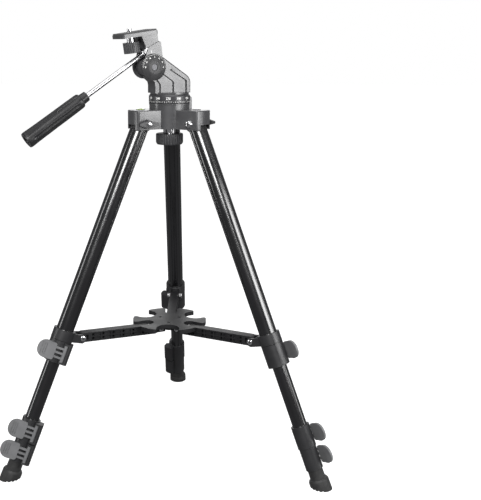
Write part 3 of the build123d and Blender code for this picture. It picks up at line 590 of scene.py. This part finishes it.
SPLAY = math.radians(23.04)
HUB_FACE = 0.0175
bolt_heads, bolt_ends = [], []
for side in SIDES:
    pivot, across = joint_line(f"{side}_leg_fold")
    outward = across.cross(UP)
    bolt_heads.append(upright(pivot - across * (HUB_FACE + 0.0030), -across, UP))
    bolt_ends.append(upright(pivot + across * (HUB_FACE + 0.0112), across, UP))
    up_leg = UP * math.cos(SPLAY) - outward * math.sin(SPLAY)
    out_leg = outward * math.cos(SPLAY) + UP * math.sin(SPLAY)
    pin = pivot - up_leg * 0.3075 - out_leg * 0.026
    ends = [upright(pin + across * sign * 0.0110, across * sign, up_leg) for sign in (1, -1)]
    cross_heads(f"{side}_brace_pin_heads", f"{side}_leg", "bright_steel", ends, 0.0038, 0.0010)
cross_heads("leg_bolt_heads", "hub", "bright_steel", bolt_heads, 0.0046, 0.0014)
cross_heads("leg_bolt_ends", "hub", "bright_steel", bolt_ends, 0.0038, 0.0026, cross=None)
tray_ends = []
for side in SIDES:
    pin, across = joint_line(f"{side}_brace_hinge")
    tray_ends += [upright(pin + across * sign * 0.0098, across * sign, UP) for sign in (1, -1)]
cross_heads("tray_pin_heads", "tray", "bright_steel", tray_ends, 0.0034, 0.0009)

# white index line over the dial, on the bracket's plate
rise = joint_line("camera_screw_turn")[1]
index_place = upright(tilt_point + tilt_axis * 0.0162 + rise * 0.0206, tilt_axis, tilt_axis.cross(rise))
new_piece(
    "tilt_index_line",
    mesh_of("tilt_index_line", lambda bm: prism(
        bm, [(-0.0003, -0.0022), (0.0003, -0.0022), (0.0003, 0.0022), (-0.0003, 0.0022)], index_place, 0.00008
    )),
    "tilt_head", "dial_plastic", white_ink,
)

# ------------------------------------------------------------------ level and compass


def inlay(node):
    """Seat of a round insert: centre of its underside, radius and height."""
    low, high = (Vector(corner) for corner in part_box(node))
    base = (low + high) / 2
    base.z = low.z
    return base, (high.x - low.x) / 2, high.z - low.z


base, radius, tall = inlay("bubble_level")
flat_place = Matrix.Translation(base)


def vial(bm):
    crown = [(radius * 0.86 * math.cos(t), tall + 0.0008 * math.sin(t)) for t in [math.pi / 2 * k / 8 for k in range(9)]]
    lathe(bm, [(0, 0.0002), (radius * 0.86, 0.0002)] + crown[:-1] + [(0, tall + 0.0008)], flat_place, 56)


def collar_ring(bm, inner, outer, low, high, place, segments=56):
    """Closed ring of square section with its outer top edge eased."""
    ease = (outer - inner) * 0.3
    profile = [(inner, low), (outer, low), (outer, high - ease), (outer - ease, high), (inner, high), (inner, low)]
    lathe(bm, profile, place, segments)
    bmesh.ops.remove_doubles(bm, verts=bm.verts, dist=1e-7)


level_body = new_piece("level_vial", mesh_of("level_vial", vial), "hub", "level_vial", vial_green)
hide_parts("bubble_level")
new_piece(
    "level_rim", mesh_of("level_rim", lambda bm: collar_ring(bm, radius * 0.85, radius, 0.0, tall, flat_place)),
    "hub", "head_plastic", ring_black,
)
ring_place = Matrix.Translation(base + Vector((0, 0, tall + 0.0006)))
new_piece(
    "level_target", mesh_of("level_target", lambda bm: collar_ring(bm, 0.0023, 0.0027, 0.0, 0.0002, ring_place)),
    "hub", "head_plastic", black_print_and_painted_shade,
)


def air_bubble(bm):
    place = Matrix.Translation(base + Vector((0.0005, 0.0003, tall + 0.0006)))
    lathe(bm, cap_profile(0.0016, 0.0004, 0.0001), place, 32)


new_piece("level_bubble", mesh_of("level_bubble", air_bubble), "hub", "level_vial", yellow_ring)

base, radius, tall = inlay("compass")
flat_place = Matrix.Translation(base)
card = new_piece(
    "compass_card",
    mesh_of("compass_card", lambda bm: lathe(
        bm, [(0, 0.0), (radius * 0.84, 0.0), (radius * 0.84, tall - 0.0006), (0, tall - 0.0006)], flat_place, 56
    )),
    "hub", "compass_face", card_white,
)
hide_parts("compass")
rim_place = flat_place
new_piece(
    "compass_rim", mesh_of("compass_rim", lambda bm: collar_ring(bm, radius * 0.83, radius, 0.0, tall, rim_place)),
    "hub", "head_plastic", ring_black,
)
marks = row_mesh(
    scale_ticks, "compass_marks", black_print_and_painted_shade, Radius=radius * 0.72, Wide=0.00022, Tall=0.00008,
    Thick=0.0008, Start=0.0, Sweep=FULL_TURN, Count=24,
)
marks.transform(Matrix.Translation(base + Vector((0, 0, tall - 0.00056))))
new_piece("compass_marks", marks, "hub", "compass_face")
for name, sign, ink in (("north", 1, red_ink), ("south", -1, blue_ink)):
    blade = [(0.0, 0.0035 * sign), (-0.0007 * sign, 0.0), (0.0007 * sign, 0.0)]
    place = flat_place @ Matrix.Translation((0, 0, tall - 0.0006)) @ Matrix.Rotation(0.35, 4, "Z")
    new_piece(
        f"compass_needle_{name}",
        mesh_of("needle", lambda bm, blade=blade, place=place: prism(bm, blade, place, 0.00045)),
        "hub", "compass_face", ink,
    )

# ------------------------------------------------------------------ handle grip


rod_point, rod_way = joint_line("handle_twist")
GRIP_START, GRIP_LENGTH = 0.1016, 0.101
grip_up = (UP - rod_way * UP.dot(rod_way)).normalized()
grip_side = rod_way.cross(grip_up)
if grip_side.y > 0:
    grip_side = -grip_side
panel_way = (grip_up * math.cos(math.radians(28)) + grip_side * math.sin(math.radians(28))).normalized()
grip_place = upright(rod_point + rod_way * GRIP_START, rod_way, panel_way)
BODY_PROFILE = (
    (0.0, 0.0060), (0.0006, 0.0068), (0.0092, 0.0072), (0.0100, 0.0090), (0.0112, 0.0098), (0.0140, 0.0101),
    (0.0300, 0.0103), (0.0600, 0.0104), (0.0860, 0.0107), (0.0965, 0.0110), (0.0990, 0.0110), (0.1010, 0.0104),
)
FLUTE_START, FLUTE_END, FLUTES, FLUTE_DEEP = 0.0150, 0.0940, 9, 0.0009


def eased(value, start, end, run):
    """1 between start and end, falling smoothly to 0 over a run."""
    inside = min(value - start, end - value) / run
    return max(0.0, min(1.0, inside)) ** 2 * (3 - 2 * max(0.0, min(1.0, inside)))


def body_radius(along):
    for (low, r_low), (high, r_high) in zip(BODY_PROFILE, BODY_PROFILE[1:]):
        if low <= along <= high:
            return r_low + (r_high - r_low) * (along - low) / (high - low)
    return BODY_PROFILE[-1][1]


def grip_shape(bm):
    """Round grip with a plain flat panel, a raised rib on the panel, and flutes below."""
    around = 144
    stations = sorted({low for low, _ in BODY_PROFILE} | {0.0012 + 0.0014 * k for k in range(71)})
    rings = []
    for along in stations:
        ring = []
        for k in range(around):
            turn = FULL_TURN * k / around
            off = math.atan2(math.sin(turn), math.cos(turn))
            r = body_radius(along)
            flat = eased(along, 0.0112, 0.0985, 0.002)
            if abs(off) < 0.85:
                r = r + (min(r, 0.0092 / math.cos(off)) - r) * flat
            rib = eased(along, 0.0125, 0.0480, 0.0025) * eased(off, -0.17, 0.17, 0.06)
            r += 0.0012 * rib
            if abs(off) > 1.0:
                wave = 0.5 - 0.5 * math.cos((abs(off) - 1.0) / (math.pi - 1.0) * FULL_TURN * FLUTES / 2)
                r -= FLUTE_DEEP * wave * eased(along, FLUTE_START, FLUTE_END, 0.004)
            ring.append(bm.verts.new(grip_place @ Vector((r * math.cos(turn), r * math.sin(turn), along))))
        rings.append(ring)
    # hollow end: lip, bore wall and floor
    for r, along in ((0.0072, GRIP_LENGTH), (0.0066, GRIP_LENGTH - 0.0008), (0.0064, GRIP_LENGTH - 0.026)):
        rings.append(
            [
                bm.verts.new(grip_place @ Vector((r * math.cos(t), r * math.sin(t), along)))
                for t in [FULL_TURN * k / around for k in range(around)]
            ]
        )
    for low, high in zip(rings, rings[1:]):
        for k in range(around):
            j = (k + 1) % around
            bm.faces.new((low[k], low[j], high[j], high[k]))
    bm.faces.new(list(reversed(rings[0])))
    bm.faces.new(rings[-1])


grip = new_piece("handle_grip_body", mesh_of("handle_grip_body", grip_shape, 40.0), "handle", "grip_rubber", grip_rubber)
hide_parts("handle_grip")

# ------------------------------------------------------------------ camera

camera = bpy.data.objects.new("camera", bpy.data.cameras.new("camera"))
bpy.context.scene.collection.objects.link(camera)
camera.location = tripod_axis + Vector((0.0734, -1.1833, 0.5862))
aim = tripod_axis + Vector((0, 0, 0.300))
camera.rotation_euler = (aim - camera.location).to_track_quat("-Z", "Y").to_euler()
camera.data.lens = 60.9
camera.data.sensor_width = 36.0
camera.data.shift_x = 0.142
camera.data.clip_start = 0.05
bpy.context.scene.camera = camera

# ------------------------------------------------------------------ studio


def softbox(name, azimuth, distance, height, wide, tall, radiance, aim_height):
    """Area light that faces the tripod from an azimuth, with a given brightness."""
    lamp = bpy.data.lights.new(name, "AREA")
    lamp.shape, lamp.size, lamp.size_y = "RECTANGLE", wide, tall
    lamp.energy = radiance * math.pi * wide * tall
    box = bpy.data.objects.new(name, lamp)
    turn = math.radians(azimuth)
    box.location = tripod_axis + Vector((distance * math.cos(turn), distance * math.sin(turn), height))
    towards = tripod_axis + Vector((0, 0, aim_height)) - box.location
    box.rotation_euler = towards.to_track_quat("-Z", "Y").to_euler()
    bpy.context.scene.collection.objects.link(box)
    box.visible_camera = False
    return box


softbox("front box", 266.0, 1.9, 1.35, 0.85, 0.95, 22.0, 0.30)
softbox("head box", 327.0, 1.15, 0.64, 0.60, 0.46, 10.0, 0.54)
softbox("left strip", 196.0, 1.5, 0.55, 0.25, 1.1, 5.0, 0.30)
softbox("right strip", 352.0, 1.5, 0.50, 0.20, 1.0, 5.0, 0.30)
softbox("top box", 270.0, 0.25, 1.75, 1.3, 1.3, 2.2, 0.0)
softbox("back box", 90.0, 1.6, 0.8, 1.2, 0.9, 1.6, 0.35)

world = bpy.data.worlds.new("studio air")
world.use_nodes = True
bpy.context.scene.world = world
air = world.node_tree
seen, lit = air.nodes["Background"], air.nodes.new("ShaderNodeBackground")
seen.inputs["Color"].default_value = (1.0, 1.0, 1.0, 1.0)
lit.inputs["Color"].default_value = (0.16, 0.16, 0.165, 1.0)
path, mixed = air.nodes.new("ShaderNodeLightPath"), air.nodes.new("ShaderNodeMixShader")
air.links.new(path.outputs["Is Camera Ray"], mixed.inputs["Fac"])
air.links.new(lit.outputs[0], mixed.inputs[1])
air.links.new(seen.outputs[0], mixed.inputs[2])
air.links.new(mixed.outputs[0], air.nodes["World Output"].inputs["Surface"])

floor_finish = Finish("pale floor", (0.30, 0.30, 0.30), 0.9, specular=0.0)
floor_finish.set("Emission Color", (1.0, 1.0, 1.0, 1.0))
floor_finish.set("Emission Strength", 0.97)
floor_mesh = bpy.data.meshes.new("floor")
reach = 12.0
corners = [(-reach, -reach, 0), (reach, -reach, 0), (reach, reach, 0), (-reach, reach, 0)]
floor_mesh.from_pydata(corners, [], [(0, 1, 2, 3)])
floor_mesh.materials.append(floor_finish.material)
floor = bpy.data.objects.new("floor", floor_mesh)
bpy.context.scene.collection.objects.link(floor)
floor.location.z = cad_box[0][2] - 0.0002
floor.visible_glossy = False
floor.visible_diffuse = False
bpy.context.scene.view_settings.view_transform = "Standard"
